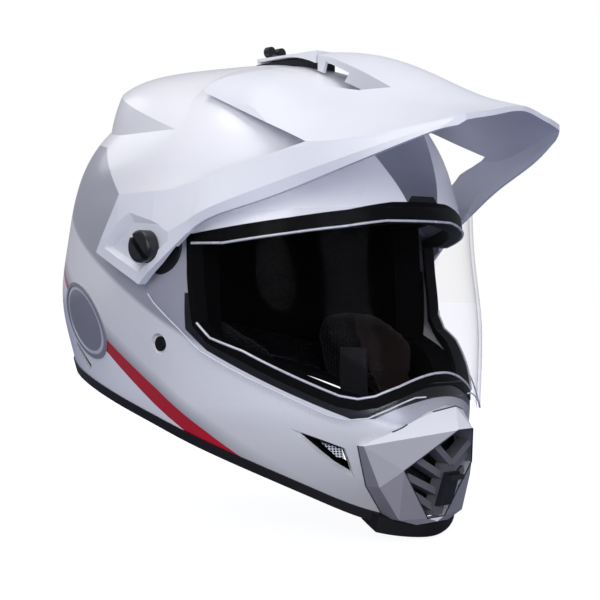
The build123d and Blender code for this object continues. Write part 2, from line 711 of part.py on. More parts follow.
def mouth_cover():
    """Faceted mouthpiece: flat facets from its outer edge to the rim of the breathing window."""
    corner = mouth_corner_shares
    middle_top = Vector(0, grid * beak_middle_share[0], grid * beak_middle_share[1])
    middle_low = Vector(0, grid * chin_middle_share[0], grid * chin_middle_share[1])
    names = ["cheek", "jaw", "low", "foot"]
    edge = [spot(corner["beak"])] + [spot(corner[k]) for k in names] + [middle_low]
    edge += [spot(corner[k], -1) for k in reversed(names)] + [spot(corner["beak"], -1), middle_top]
    rim = [spot(corner["top"]), spot(corner["side"]), spot(corner["heel"])]
    rim += [spot(corner["heel"], -1), spot(corner["side"], -1), spot(corner["top"], -1)]
    faces = []
    for side in (1, -1):
        beak, cheek, jaw, low, foot = [spot(corner[k], side) for k in ["beak"] + names]
        top, mid, heel = [spot(corner[k], side) for k in ("top", "side", "heel")]
        for trio in ((beak, cheek, top), (cheek, mid, top), (cheek, jaw, mid), (jaw, low, mid),
                     (low, heel, mid), (low, foot, heel), (foot, middle_low, heel),
                     (beak, top, middle_top)):
            faces.append(list(trio))
    faces.append([spot(corner["top"]), spot(corner["top"], -1), middle_top])
    faces.append([spot(corner["heel"]), spot(corner["heel"], -1), middle_low])

    def push(point):
        return Vector(point.X, -mouth_back, point.Z)

    for loop in (edge, rim):
        for first, second in zip(loop, loop[1:] + loop[:1]):
            faces.append([first, second, push(second), push(first)])
    skins = [Face(Wire.make_polygon(f)) for f in faces]
    back = Face(Wire.make_polygon([push(p) for p in edge]), [Wire.make_polygon([push(p) for p in rim])])
    return Solid(Shell(skins + [back]))


def mouth_piece():
    return mouth_cover() - shell_form(-mouth_seat)


def bar(first, second, side):
    """Rib between two points in front view, run back by the rib depth."""
    p, q = spot(first, side), spot(second, side)
    along = Vector(q.X - p.X, 0, q.Z - p.Z).normalized()
    half = Vector(along.Z, 0, -along.X) * (rib_width / 2)
    face = Face(Wire.make_polygon([p + half, q + half, q - half, p - half]))
    return extrude(face, amount=rib_depth, dir=(0, 1, 0))


def mouth_grille():
    grille = None
    for first, second in grille_rib_shares:
        for side in (1, -1):
            rib = bar(first, second, side)
            grille = rib if grille is None else grille + rib
    y, z = flat([grille_post_shares[0]])[0]
    y2, z2 = flat([grille_post_shares[1]])[0]
    post = Face(Wire.make_polygon([Vector(rib_width, y, z), Vector(-rib_width, y, z),
                                   Vector(-rib_width, y2, z2), Vector(rib_width, y2, z2)]))
    grille += extrude(post, amount=rib_depth, dir=(0, 1, 0))
    return grille & mouth_tunnel()


def mouth_tunnel():
    right = [mouth_corner_shares[k] for k in ("top", "side", "heel")]
    points = [(grid * a, grid * c) for a, b, c in right]
    return front_prism(points + [(-a, c) for a, c in reversed(points)], grid * 2)


def mouth_mesh():
    """Mesh screen in the breathing window, swept back to each side and towards its foot."""
    middle, edge, low = [grid * s for s in mouth_mesh_place_shares]
    (top_x, top_z), (side_x, side_z), (low_x, low_z) = flat(mouth_window_shares)
    mesh = None
    for side in (1, -1):
        def at(x, z):
            along = middle + (edge - middle) * x / side_x + (low - middle) * (z - top_z) / (low_z - top_z)
            return Vector(side * x, along, z)
        face = Face(Wire.make_polygon([at(0, top_z), at(side_x, top_z), at(side_x, low_z), at(0, low_z)]))
        half = extrude(face, amount=mesh_wall, dir=(0, 1, 0))
        mesh = half if mesh is None else mesh + half
    return mesh & mouth_window()


def chin_slider():
    """Tab that slides down over the grille to close the chin vent."""
    (y, z), (y2, z2) = flat([slider_top_shares, slider_low_shares])
    half = slider_width / 2
    face = Face(Wire.make_polygon([Vector(half, y, z), Vector(-half, y, z),
                                   Vector(-half, y2, z2), Vector(half, y2, z2)]))
    tab = extrude(face, amount=slider_depth, dir=(0, 1, 0))
    grip = Pos(0, y - slider_grip / 2 + slider_depth / 2, z - slider_grip) * Box(
        slider_width, slider_grip + slider_depth, slider_grip)
    return tab + grip


def exhaust_vent(side):
    """Louvre plate across the upper part of the side exhaust opening."""
    return vent_prism(exhaust_bar_shares, side, -vent_depth, mesh_wall)


def rear_vent(side):
    band = shell_form(shell_wall / 2) - shell_form(shell_wall)
    return one_side(band & side_prism(flat(slit_shares), shell_half_width / 2, grid * 2), side)


def badge(side):
    """Bare oval plate following the shell, with a raised rim."""
    y, z = flat([badge_place_shares])[0]
    oval = Pos(y, z) * Rot(0, 0, badge_turn) * Ellipse(badge_half_length, badge_half_height)
    small = Pos(y, z) * Rot(0, 0, badge_turn) * Ellipse(badge_half_length - badge_rim,
                                                       badge_half_height - badge_rim)
    big = extrude(Plane.YZ * oval, amount=grid * 2, dir=(side, 0, 0))
    hole = extrude(Plane.YZ * small, amount=grid * 2, dir=(side, 0, 0))
    plate = (shell_form(-badge_wall) - shell_form()) & big
    return plate - (hole - shell_form(-badge_wall / 2))


def strap_rivet(side):
    """Anchor of the chin strap: domed head in the shell, shank through the webbing, tail inside."""
    head = rivet_rod(rivet_radius, rivet_seat, rivet_seat + rivet_head, side)
    ends = head.edges().group_by(Axis.X)[-1 if side > 0 else 0]
    head = fillet(ends, rivet_head / 2)
    tail_end = rivet_seat - rivet_reach
    tail = rivet_rod(rivet_radius, tail_end - rivet_tail, tail_end, side)
    return head + tail + rivet_rod(rivet_shank_radius, tail_end, rivet_seat, side)


def strap_slot(side):
    """Room that the webbing takes up in the foam."""
    face = Plane.XZ * make_face(Polyline(*flat(strap_slot_shares), close=True))
    slot = Pos(0, grid * strap_place_share, 0) * extrude(face, amount=strap_width / 2 + soft_gap, both=True)
    return slot if side > 0 else mirror(slot, about=Plane.YZ)


def chin_strap(side):
    """Webbing from its rivet down through the foam, under the cheek pad and up its inner face."""
    face = Plane.XZ * trace(Polyline(*flat(strap_shares)), strap_wall)
    strap = extrude(face, amount=strap_width / 2, both=True)
    strap = Pos(0, grid * strap_place_share, 0) * strap
    if side < 0:
        strap = mirror(strap, about=Plane.YZ)
    return strap - rivet_rod(rivet_shank_radius + running_clear, shell_half_width / 2, grid * 2, side)


def save(solid, name):
    solid.label = name
    export_step(solid, f"parts/{name}.step")
    print(name, round(solid.volume), len(solid.solids()))


def main():
    os.makedirs("parts", exist_ok=True)
    save(outer_shell(), "outer_shell")
    save(foam_liner(), "foam_liner")
    save(chin_foam(), "chin_foam")
    save(crown_pad(), "crown_pad")
    save(neck_roll(), "neck_roll")
    save(rim_trim(), "rim_trim")
    save(port_gasket(), "port_gasket")
    save(brow_vent_foam(), "brow_vent_foam")
    save(face_shield(), "face_shield")
    save(peak(), "peak")
    save(crown_strip(), "crown_strip")
    save(crown_wedge(), "crown_wedge")
    save(wing_screw(), "wing_screw")
    cover = mouth_piece()
    save(cover, "mouth_cover")
    save(chin_trim(mouth_cover()), "chin_trim")
    save(mouth_grille(), "mouth_grille")
    save(mouth_mesh(), "mouth_mesh")
    save(chin_slider(), "chin_slider")
    for side, word in ((1, "left"), (-1, "right")):
        save(cheek_pad(side), f"cheek_pad_{word}")
        save(pivot_plate(side), f"pivot_plate_{word}")
        save(side_knob(side), f"side_knob_{word}")
        save(side_washer(side), f"side_washer_{word}")
        save(exhaust_vent(side), f"exhaust_mesh_{word}")
        save(rear_vent(side), f"rear_vent_{word}")
        save(badge(side), f"badge_{word}")
        save(strap_rivet(side), f"strap_rivet_{word}")
        save(chin_strap(side), f"chin_strap_{word}")


main()
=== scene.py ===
import math

import bmesh
import bpy
from mathutils import Matrix, Vector


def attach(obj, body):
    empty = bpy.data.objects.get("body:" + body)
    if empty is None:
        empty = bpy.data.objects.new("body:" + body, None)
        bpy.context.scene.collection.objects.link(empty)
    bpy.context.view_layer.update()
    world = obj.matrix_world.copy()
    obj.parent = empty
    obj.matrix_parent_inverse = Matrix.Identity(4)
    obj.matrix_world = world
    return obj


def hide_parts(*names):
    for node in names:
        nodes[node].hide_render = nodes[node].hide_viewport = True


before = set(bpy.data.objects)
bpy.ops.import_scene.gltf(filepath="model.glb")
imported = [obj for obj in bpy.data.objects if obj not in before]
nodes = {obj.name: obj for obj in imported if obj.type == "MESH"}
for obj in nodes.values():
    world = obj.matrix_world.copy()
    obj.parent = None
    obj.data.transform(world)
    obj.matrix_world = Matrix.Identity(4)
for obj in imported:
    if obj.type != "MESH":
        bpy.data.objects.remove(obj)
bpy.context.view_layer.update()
mm = 0.001
sides = {"left": 1, "right": -1}
print("frame loaded:", len(nodes), "nodes")


class Wire:
    # a socket in a sum: each operator adds a Math node
    def __init__(self, bench, socket):
        self.bench, self.socket = bench, socket

    def __add__(self, other):
        return self.bench.maths("ADD", self, other)

    def __sub__(self, other):
        return self.bench.maths("SUBTRACT", self, other)

    def __rsub__(self, other):
        return self.bench.maths("SUBTRACT", other, self)

    def __mul__(self, other):
        return self.bench.maths("MULTIPLY", self, other)

    def __truediv__(self, other):
        return self.bench.maths("DIVIDE", self, other)

    def __rtruediv__(self, other):
        return self.bench.maths("DIVIDE", other, self)

    def __pow__(self, other):
        return self.bench.maths("POWER", self, other)

    def __rpow__(self, other):
        return self.bench.maths("POWER", other, self)

    def __abs__(self):
        return self.bench.maths("ABSOLUTE", self)

    __radd__ = __add__
    __rmul__ = __mul__


class NodeBench:
    # a node tree: node() adds any node, the rest are short names for the ones used most
    def __init__(self, tree):
        self.tree = tree

    def join(self, value, socket):
        # a wire becomes a link, anything else the socket's own value
        if isinstance(value, Wire):
            self.tree.links.new(value.socket, socket)
        else:
            socket.default_value = value

    def node(self, kind, settings=None, values=None, out=0):
        made = self.tree.nodes.new(kind)
        for key, value in (settings or {}).items():
            setattr(made, key, value)
        for key, value in (values or {}).items():
            self.join(value, made.inputs[key])
        return Wire(self, made.outputs[out])

    def maths(self, operation, *values):
        return self.node("ShaderNodeMath", {"operation": operation}, dict(enumerate(values)))

    def fade(self, value, width):
        # 0 below zero and 1 above it, over a soft border of this width
        return self.node("ShaderNodeMath", {"operation": "MULTIPLY_ADD", "use_clamp": True},
                         {0: value, 1: 1 / width, 2: 0.5})

    def least(self, first, *others):
        for other in others:
            first = self.maths("MINIMUM", first, other)
        return first

    def blend(self, factor, low, high):
        return self.node("ShaderNodeMix", {"data_type": "RGBA"}, {0: factor, 6: low, 7: high}, 2)

    def mixShaders(self, factor, low, high):
        return self.node("ShaderNodeMixShader", None, {0: factor, 1: low, 2: high})

    def place(self, scale=1.0):
        # object coordinates times a scale, so 1000 gives millimetres
        spot = self.node("ShaderNodeTexCoord", out="Object")
        return self.node("ShaderNodeVectorMath", {"operation": "SCALE"}, {0: spot, "Scale": scale})

    def split(self, vector):
        first = self.node("ShaderNodeSeparateXYZ", None, {0: vector})
        return [Wire(self, socket) for socket in first.socket.node.outputs]

    def axes(self, scale=1000.0):
        return self.split(self.place(scale))

    def noise(self, scale, detail=3.0, rough=0.5):
        return self.node("ShaderNodeTexNoise", None,
                         {"Vector": self.place(), "Scale": scale, "Detail": detail, "Roughness": rough})

    def bump(self, height, strength, distance):
        return self.node("ShaderNodeBump", None,
                         {"Height": height, "Strength": strength, "Distance": distance})


class Finish(NodeBench):
    # one material; its constants and feeds name the Principled shader's sockets
    def __init__(self, name, **constants):
        self.material = bpy.data.materials.new(name)
        self.material.use_nodes = True
        super().__init__(self.material.node_tree)
        self.shader = self.tree.nodes["Principled BSDF"]
        self.feed(**constants)

    def feed(self, **values):
        for name, value in values.items():
            self.join(value, self.shader.inputs[name.replace("_", " ")])

    def show(self, surface):
        self.join(surface, self.tree.nodes["Material Output"].inputs["Surface"])

    def paint(self, *names):
        for name in names:
            for slot in nodes[name].material_slots:
                slot.material = self.material


def spread(value, low, high):
    return value * (high - low) + low


def rgb(red, green, blue):
    # screen colour, 0 to 255, as the linear colour that Blender works in
    def linear(c):
        c /= 255
        return c / 12.92 if c <= 0.04045 else ((c + 0.055) / 1.055) ** 2.4
    return (linear(red), linear(green), linear(blue), 1.0)


def tint(colour, share, lift=0.0):
    return [c * share + lift for c in colour[:3]] + [1]


def mottled(name, colours, rough, cloud, grain=None, **constants):
    # colour and roughness follow one cloudy noise; a grain is its scale, strength and depth
    look = Finish(name, **constants)
    patch = look.noise(*cloud)
    look.feed(Base_Color=look.blend(patch, *colours), Roughness=spread(patch, *rough))
    if grain:
        scale, strength, depth = grain
        look.feed(Normal=look.bump(look.noise(scale, 2.0), strength, depth))
    return look


def addObject(name, data):
    made = bpy.data.objects.new(name, data)
    bpy.context.scene.collection.objects.link(made)
    return made


def aimAt(thing, direction):
    thing.rotation_euler = direction.to_track_quat("-Z", "Y").to_euler()


studio = {
    # lengths in metres, angles in degrees
    "aim": (0, 0, -0.036), "distance": 1.0, "azimuth": 45.0, "rise": 1.0, "lens": 90.0, "sensor": 36.0,
    "floorHeight": -0.1815, "floorSize": 6.0, "floorSquares": 8,
    "worldColour": (0.86, 0.88, 1.0, 1.0), "worldStrength": 0.38,
    "white": (1, 1, 1, 1), "black": (0, 0, 0, 1),
    "floorColour": (0.20, 0.215, 0.32, 1.0), "floorRoughness": 0.9, "floorGlow": 0.93,
}


def makeCamera():
    turn, rise = math.radians(studio["azimuth"]), math.radians(studio["rise"])
    back = Vector((-math.sin(turn) * math.cos(rise), -math.cos(turn) * math.cos(rise), math.sin(rise)))
    data = bpy.data.cameras.new("camera")
    data.lens, data.sensor_width = studio["lens"], studio["sensor"]
    camera = addObject("camera", data)
    camera.location = Vector(studio["aim"]) + back * studio["distance"]
    aimAt(camera, -back)
    bpy.context.scene.camera = camera


def makeWorld():
    # dim for the helmet's light, white where the camera sees it, also through the shield
    world = bpy.data.worlds.new("studio")
    world.use_nodes = True
    bpy.context.scene.world = world
    bench = NodeBench(world.node_tree)
    dim = bench.tree.nodes["Background"]
    bench.join(studio["worldColour"], dim.inputs["Color"])
    bench.join(studio["worldStrength"], dim.inputs["Strength"])
    white = bench.node("ShaderNodeBackground", None, {"Color": studio["white"]})
    seen = bench.maths("MAXIMUM", bench.node("ShaderNodeLightPath", out="Is Camera Ray"),
                       bench.node("ShaderNodeLightPath", out="Is Transmission Ray"))
    mix = bench.mixShaders(seen, Wire(bench, dim.outputs[0]), white)
    bench.join(mix, bench.tree.nodes["World Output"].inputs["Surface"])


lamps = {
    # name: place, aim, size, watts, colour
    "key": ((-0.4, 0.0, 1.9), (0, -0.02, 0.02), 1.5, 15.0, (1.0, 0.99, 0.98)),
    "side": ((-1.55, -0.95, 0.6), (0, 0, -0.05), 0.9, 9.5, (1.0, 0.99, 0.99)),
    "front": ((-0.6, -1.7, 0.15), (0, 0, -0.05), 0.9, 9.5, (0.87, 0.9, 1.0)),
    "rear": ((-0.2, 1.6, 1.0), (0, 0, 0), 1.0, 3.0, (0.95, 0.97, 1.0)),
}


def makeLamps():
    for name, (spot, aim, size, watts, colour) in lamps.items():
        data = bpy.data.lights.new(name, "AREA")
        data.shape, data.size = "DISK", size
        data.energy, data.color = watts, colour
        lamp = addObject(name, data)
        lamp.location = spot
        aimAt(lamp, Vector(aim) - Vector(spot))


def makeFloor():
    squares = studio["floorSquares"]
    shape = bmesh.new()
    bmesh.ops.create_grid(shape, x_segments=squares, y_segments=squares, size=studio["floorSize"])
    bmesh.ops.translate(shape, verts=shape.verts, vec=(0, 0, studio["floorHeight"]))
    mesh = bpy.data.meshes.new("floor")
    shape.to_mesh(mesh)
    shape.free()
    floor = addObject("floor", mesh)
    # its shadow shows, and the camera alone sees it glow nearly white
    look = Finish("floorWhite", Base_Color=studio["floorColour"], Roughness=studio["floorRoughness"])
    glow = look.node("ShaderNodeEmission", None,
                     {"Color": studio["white"], "Strength": studio["floorGlow"]})
    dark = look.node("ShaderNodeEmission", None, {"Color": studio["black"], "Strength": 0.0})
    lit = look.mixShaders(look.node("ShaderNodeLightPath", out="Is Camera Ray"), dark, glow)
    look.show(look.node("ShaderNodeAddShader", None, {0: Wire(look, look.shader.outputs[0]), 1: lit}))
    mesh.materials.append(look.material)


makeCamera()
makeWorld()
makeLamps()
makeFloor()
bpy.context.scene.view_settings.view_transform = "Standard"
print("camera, lamps and floor made")


shellPaint = {
    "white": rgb(250, 250, 253), "silver": rgb(250, 250, 251), "darkGrey": rgb(182, 182, 191),
    "red": rgb(192, 2, 30), "lowWhite": rgb(250, 251, 255),
    # widths in mm: a painted border, a dull one, and the change from one border line to the next
    "border": 0.35, "bandBorder": 3.0, "change": 0.5,
    # border lines in side view, by two (y, z) points in mm; a line starts where it meets the next
    "whiteRear": ((86, 65), (170, 78)), "whiteMiddle": ((86, 65), (50, 32)),
    "whiteFront": ((50, 32), (-20, 6)),
    "bandLow": ((94, 2), (-6, -51)),
    "stripeTopRear": ((112, -29), (13, -90)), "stripeTopFront": ((13, -90), (-39, -128)),
    "stripeLow": ((120, -29), (-3, -114)),
    # painted shade: the silver darkens above the stripe and towards the chin, where less light falls: share
    # of its colour, start, width
    "stripePaintedShade": (0.52, 5.0, 9.0), "chinPaintedShade": (0.55, -126.0, 56.0),
    "flake": (900.0, 2.0, 0.6), "silverFlake": (0.93, 1.05), "greyFlake": (0.92, 1.06),
    # grey wedge on the forehead: half its width at its start, growth per mm, where it fades out
    "panel": rgb(112, 114, 126), "panelHigh": rgb(196, 199, 212),
    "panelHalf": 14.0, "panelSlope": 0.45, "panelStart": 25.0, "panelBorder": 0.6,
    "panelRear": -40.0, "panelLow": 18.0, "panelEnd": 1.0, "panelTop": 96.0, "panelTopEnd": 4.0,
    "panelRise": (48.0, 44.0),
    # the black seat of the shield lies above these lines, below the eye port
    "seat": (((-17, -52), (-30, -64.5)), ((-30, -64.5), (-94, -102)), ((-120, -105), (-90, -105)),
             ((-124, -92.5), (-108, -105))),
    "seatPaint": rgb(10, 10, 12), "seatTop": -30.0, "seatRear": -17.0,
    "silverMetal": 0.15, "panelMetal": 0.4, "metalRoughness": 0.06,
    "roughness": (0.25, 0.33), "roughNoise": (35.0, 4.0), "coat": (0.3, 0.45), "coatNoise": 18.0,
    "peelNoise": (140.0, 2.0), "peel": (0.06, 0.0004),
}


def heightAbove(y, z, line):
    # distance above a straight border line in side view
    (y1, z1), (y2, z2) = line
    slope = (z2 - z1) / (y2 - y1)
    return (z - z1 - (y - y1) * slope) * (1 / math.hypot(1, slope))


def finishShell():
    p = shellPaint
    look = Finish("shellLacquer", Coat_Roughness=0.12, Specular_IOR_Level=0.5)
    x, y, z = look.axes()

    def overLine(name):
        return heightAbove(y, z, p[name])

    def meet(front, rear, corner):
        # the front height ahead of this corner, the rear one behind it
        behind = look.fade(y - corner[0], p["change"])
        return behind * rear + (1 - behind) * front

    overWhite = meet(overLine("whiteFront"),
                     meet(overLine("whiteMiddle"), overLine("whiteRear"), p["whiteRear"][0]),
                     p["whiteFront"][0])
    overStripe = meet(overLine("stripeTopFront"), overLine("stripeTopRear"), p["stripeTopFront"][0])
    white = look.fade(overWhite, p["border"])
    band = look.fade(overLine("bandLow"), p["bandBorder"])
    stripeTop = look.fade(overStripe, p["border"])
    stripeLow = look.fade(overLine("stripeLow"), p["border"])
    flake = look.noise(*p["flake"])
    silver = look.blend(flake, *[tint(p["silver"], share) for share in p["silverFlake"]])
    grey = look.blend(flake, *[tint(p["darkGrey"], share) for share in p["greyFlake"]])
    # painted shade on the silver, above the stripe and towards the chin
    for height, (share, start, width) in ((overStripe, p["stripePaintedShade"]), (z, p["chinPaintedShade"])):
        silver = look.blend(look.fade(height - start, width), tint(p["silver"], share), silver)
    colour = look.blend(band, silver, grey)
    colour = look.blend(white, colour, p["white"])
    colour = look.blend(stripeTop, p["red"], colour)
    colour = look.blend(stripeLow, p["lowWhite"], colour)
    half = (z - p["panelStart"]) * p["panelSlope"] + p["panelHalf"]
    panel = look.fade(half - abs(x), p["panelBorder"]) * look.fade(p["panelRear"] - y, p["panelEnd"])
    panel = panel * look.fade(z - p["panelLow"], p["panelEnd"])
    panel = panel * look.fade(p["panelTop"] - z, p["panelTopEnd"])
    riseStart, riseWidth = p["panelRise"]
    panelColour = look.blend(look.fade(z - riseStart, riseWidth), p["panel"], p["panelHigh"])
    colour = look.blend(panel, colour, panelColour)
    seat = look.fade(look.least(*[heightAbove(y, z, line) for line in p["seat"]]), p["border"])
    seat = seat * look.fade(p["seatTop"] - z, p["change"]) * look.fade(p["seatRear"] - y, p["change"])
    colour = look.blend(seat, colour, p["seatPaint"])
    metal = ((1 - white) * stripeTop * p["silverMetal"] + panel * p["panelMetal"]) * (1 - seat)
    look.feed(Base_Color=colour, Metallic=metal,
              Roughness=spread(look.noise(*p["roughNoise"]), *p["roughness"]) + metal * p["metalRoughness"],
              Coat_Weight=spread(look.noise(p["coatNoise"]), *p["coat"]),
              Normal=look.bump(look.noise(*p["peelNoise"]), *p["peel"]))
    look.paint("outer_shell")


plastics = {
    # node names, screen colour, roughness, grain scale, grain strength, shine
    "peak": (("peak", "crown_wedge"), rgb(237, 238, 244), 0.36, 1500.0, 0.10, 0.5),
    "black": (("crown_strip", "chin_slider", "rear_vent_left", "rear_vent_right", "pivot_plate_left",
               "pivot_plate_right"), rgb(26, 26, 29), 0.5, 1100.0, 0.2, 0.5),
    "grille": (("mouth_grille",), rgb(104, 104, 109), 0.45, 1200.0, 0.15, 0.5),
    "screws": (("side_knob_left", "side_knob_right", "wing_screw"), rgb(22, 22, 25), 0.34, 900.0, 0.12,
               0.5),
    "rubber": (("rim_trim", "chin_trim"), rgb(15, 14, 17), 0.55, 700.0, 0.22, 0.35),
    # the seal and foam are near-black partly by their own colour, partly as painted shade of the recessed
    # port and the helmet's inside
    "seal": (("port_gasket",), rgb(3, 3, 4), 0.6, 700.0, 0.15, 0.1),
    "foam": (("foam_liner", "chin_foam"), rgb(5, 4, 5), 0.9, 260.0, 0.6, 0.05),
}
moulding = {
    "cloud": (28.0, 4.0), "deep": 0.95, "pale": (1.04, 0.002), "rough": (-0.04, 0.06), "depth": 0.0002,
}


def finishPlastics():
    m = moulding
    for name, (members, colour, rough, grain, strength, shine) in plastics.items():
        look = mottled(name + "Moulding", (tint(colour, m["deep"]), tint(colour, *m["pale"])),
                       [rough + step for step in m["rough"]], m["cloud"],
                       (grain, strength, m["depth"]), Specular_IOR_Level=shine)
        look.paint(*members)


mouthPaintedShading = {
    # painted light and shade: facets that face up are painted light, those that face down are painted
    # darker
    "low": rgb(142, 140, 148), "high": rgb(246, 246, 250), "level": 0.12, "border": 0.7,
    "rough": (0.38, 0.48), "grainNoise": (1300.0, 2.0), "grain": (0.14, 0.0002),
}


def finishMouthpiece():
    p = mouthPaintedShading
    look = Finish("mouthMouldingPaintedShade")
    normalZ = look.split(look.node("ShaderNodeTexCoord", out="Normal"))[2]
    # painted shade by facet direction, standing in for the lamps above
    up = look.fade(normalZ - p["level"], p["border"])
    look.feed(Base_Color=look.blend(up, p["low"], p["high"]),
              Roughness=spread(look.noise(*moulding["cloud"]), *p["rough"]),
              Normal=look.bump(look.noise(*p["grainNoise"]), *p["grain"]))
    look.paint("mouth_cover")


steels = {
    # node names, two screen colours, roughness, metal
    "platedSteel": (("side_washer_left", "side_washer_right"), (rgb(120, 120, 124), rgb(176, 176, 180)),
                    (0.25, 0.4), 1.0),
    "blackedSteel": (("strap_rivet_left", "strap_rivet_right"), (rgb(12, 12, 14), rgb(26, 26, 28)),
                     (0.4, 0.55), 0.6),
}
steelCloud = (220.0, 3.0)


def finishSteel():
    for name, (members, colours, rough, metal) in steels.items():
        mottled(name, colours, rough, steelCloud, Metallic=metal).paint(*members)


badgeLook = {
    # bare oval with a light ring, mm and degrees in side view; the ring is in shares of the oval
    "middle": (90.0, -49.0), "turn": 34.0, "halfLength": 33.0, "halfHeight": 20.0,
    "ring": (0.80, 0.885), "ringBorder": 0.02, "ringBump": (0.5, 0.0003),
    "plate": rgb(134, 135, 146), "plateShares": (0.94, 1.06), "light": rgb(206, 208, 216),
    "cloud": (60.0, 3.0), "rough": (0.3, 0.4),
}


def finishBadges():
    p = badgeLook
    look = Finish("badgeEnamel", Coat_Weight=0.4, Coat_Roughness=0.1)
    y, z = look.axes()[1:]
    cosine, sine = math.cos(math.radians(p["turn"])), math.sin(math.radians(p["turn"]))
    y, z = y - p["middle"][0], z - p["middle"][1]
    along, across = (y * cosine + z * sine) / p["halfLength"], (z * cosine - y * sine) / p["halfHeight"]
    far = (along * along + across * across) ** 0.5
    inner, outer = p["ring"]
    ring = look.fade(far - inner, p["ringBorder"]) * look.fade(outer - far, p["ringBorder"])
    cloud = look.noise(*p["cloud"])
    plate = look.blend(cloud, *[tint(p["plate"], share) for share in p["plateShares"]])
    look.feed(Base_Color=look.blend(ring, plate, p["light"]), Roughness=spread(cloud, *p["rough"]),
              Normal=look.bump(ring, *p["ringBump"]))
    look.paint("badge_left", "badge_right")


screens = {
    # node names, sheet and hole colours, pitch in mm, and which way its rows run: x is 0, y is 1
    "whiteMesh": (("exhaust_mesh_left", "exhaust_mesh_right"), rgb(228, 230, 236), rgb(10, 10, 12), 1.5, 1),
    "blackMesh": (("mouth_mesh",), rgb(26, 26, 28), rgb(3, 3, 4), 2.2, 0),
}
holes = {"level": 0.25, "border": 0.5, "rough": (0.4, 0.8), "bump": (0.6, 0.0004)}
filterFoam = {"cells": 650.0, "colours": (rgb(6, 6, 7), rgb(34, 34, 37)), "bump": (0.8, 0.0006)}


def finishMeshes():
    # perforated sheets: round holes on a staggered grid
    for name, (members, sheet, hole, pitch, way) in screens.items():
        look = Finish(name)
        turns = look.axes(1000 / pitch)
        waves = [look.maths("COSINE", turns[k] * (2 * math.pi)) for k in (way, 2)]
        through = look.fade(waves[0] + waves[1] - holes["level"], holes["border"])
        look.feed(Base_Color=look.blend(through, sheet, hole), Roughness=spread(through, *holes["rough"]),
                  Normal=look.bump(1 - through, *holes["bump"]))
        look.paint(*members)
    look = Finish("filterFoam", Roughness=0.95)
    cells = look.node("ShaderNodeTexVoronoi", None, {"Vector": look.place(), "Scale": filterFoam["cells"]})
    look.feed(Base_Color=look.blend(cells, *filterFoam["colours"]),
              Normal=look.bump(cells, *filterFoam["bump"]))
    look.paint("brow_vent_foam")


clearSheet = {
    # clear, with a reflection that grows towards its edges, and a base colour that pales there as a painted
    # highlight
    "roughness": 0.04, "index": 1.49, "through": (0.99, 0.99, 0.995, 1), "rim": (0.9, 0.92, 0.96, 1),
    "facing": 0.35, "power": 6.0, "edge": 0.95, "least": 0.012, "most": 0.85,
    "haze": 0.006, "hazeNoise": (9.0, 2.0), "paintedEdgeHighlight": 2.0,
}


def finishShield():
    p = clearSheet
    look = Finish("clearSheet", Roughness=p["roughness"], IOR=p["index"])
    through = look.node("ShaderNodeBsdfTransparent", None, {"Color": p["through"]})
    rim = look.node("ShaderNodeLayerWeight", None, {"Blend": p["facing"]}, "Facing")
    haze = look.noise(*p["hazeNoise"])
    factor = look.least(rim ** p["power"] * p["edge"] + p["least"] + haze * p["haze"], p["most"])
    # painted highlight: the base colour pales towards grazing angles, lighting the sheet's edges
    pale = look.least(rim * rim * p["paintedEdgeHighlight"], 1.0)
    look.feed(Base_Color=look.blend(pale, studio["black"], p["rim"]))
    look.show(look.mixShaders(factor, through, Wire(look, look.shader.outputs[0])))
    look.paint("face_shield")


finishShell()
finishPlastics()
finishMouthpiece()
finishSteel()
finishBadges()
finishMeshes()
finishShield()
print("finishes made")


lining = {
    # knit cells in mm, their rim, and the dark of their holes
    # the near-black knit and hole colours are partly the lining's own dark cloth, partly painted shade of
    # the helmet's inside
    "mesh": rgb(11, 10, 11), "suede": rgb(34, 26, 24), "cell": 3.2, "lean": 0.5, "cellRim": (0.3, 1.6),
    "hole": rgb(8, 8, 9), "holeShare": 0.8, "cloud": (24.0, 3.0), "shares": (0.55, 1.35),
    "fuzz": (700.0, 4.0, 0.7), "fuzzHeight": 0.4, "bump": (0.7, 0.0008),
}


def clothLook(name, base, knit):
    p = lining
    look = Finish(name, Roughness=0.92, Specular_IOR_Level=0.1, Sheen_Weight=0.04, Sheen_Roughness=0.5)
    x, y, z = look.axes()
    size = 2 * math.pi / p["cell"]
    # three waves a sixth of a turn apart make a honeycomb
    waves = [look.maths("COSINE", (y * math.cos(a) + (z + x * p["lean"]) * math.sin(a)) * size)
             for a in (0.0, math.pi / 3, 2 * math.pi / 3)]
    level, width = p["cellRim"]
    cells = look.fade(waves[0] + waves[1] + waves[2] - level, width) * knit
    fuzz = look.noise(*p["fuzz"])
    colour = look.blend(look.noise(*p["cloud"]), *[tint(base, share) for share in p["shares"]])
    colour = look.blend(cells * p["holeShare"], colour, p["hole"])
    look.feed(Base_Color=colour, Normal=look.bump(fuzz * p["fuzzHeight"] + (1 - cells), *p["bump"]))
    return look


def copyNode(name, source):
    mesh = nodes[source].data.copy()
    mesh.materials.clear()
    shape = bmesh.new()
    shape.from_mesh(mesh)
    bmesh.ops.remove_doubles(shape, verts=shape.verts, dist=1e-6)
    bmesh.ops.recalc_face_normals(shape, faces=shape.faces)
    shape.to_mesh(mesh)
    shape.free()
    return addObject(name, mesh)


def applyModifier(obj, step):
    bpy.context.view_layer.objects.active = obj
    bpy.ops.object.modifier_apply(modifier=step.name)


def useModifier(obj, kind, **settings):
    step = obj.modifiers.new(kind.lower(), kind)
    for key, value in settings.items():
        setattr(step, key, value)
    applyModifier(obj, step)


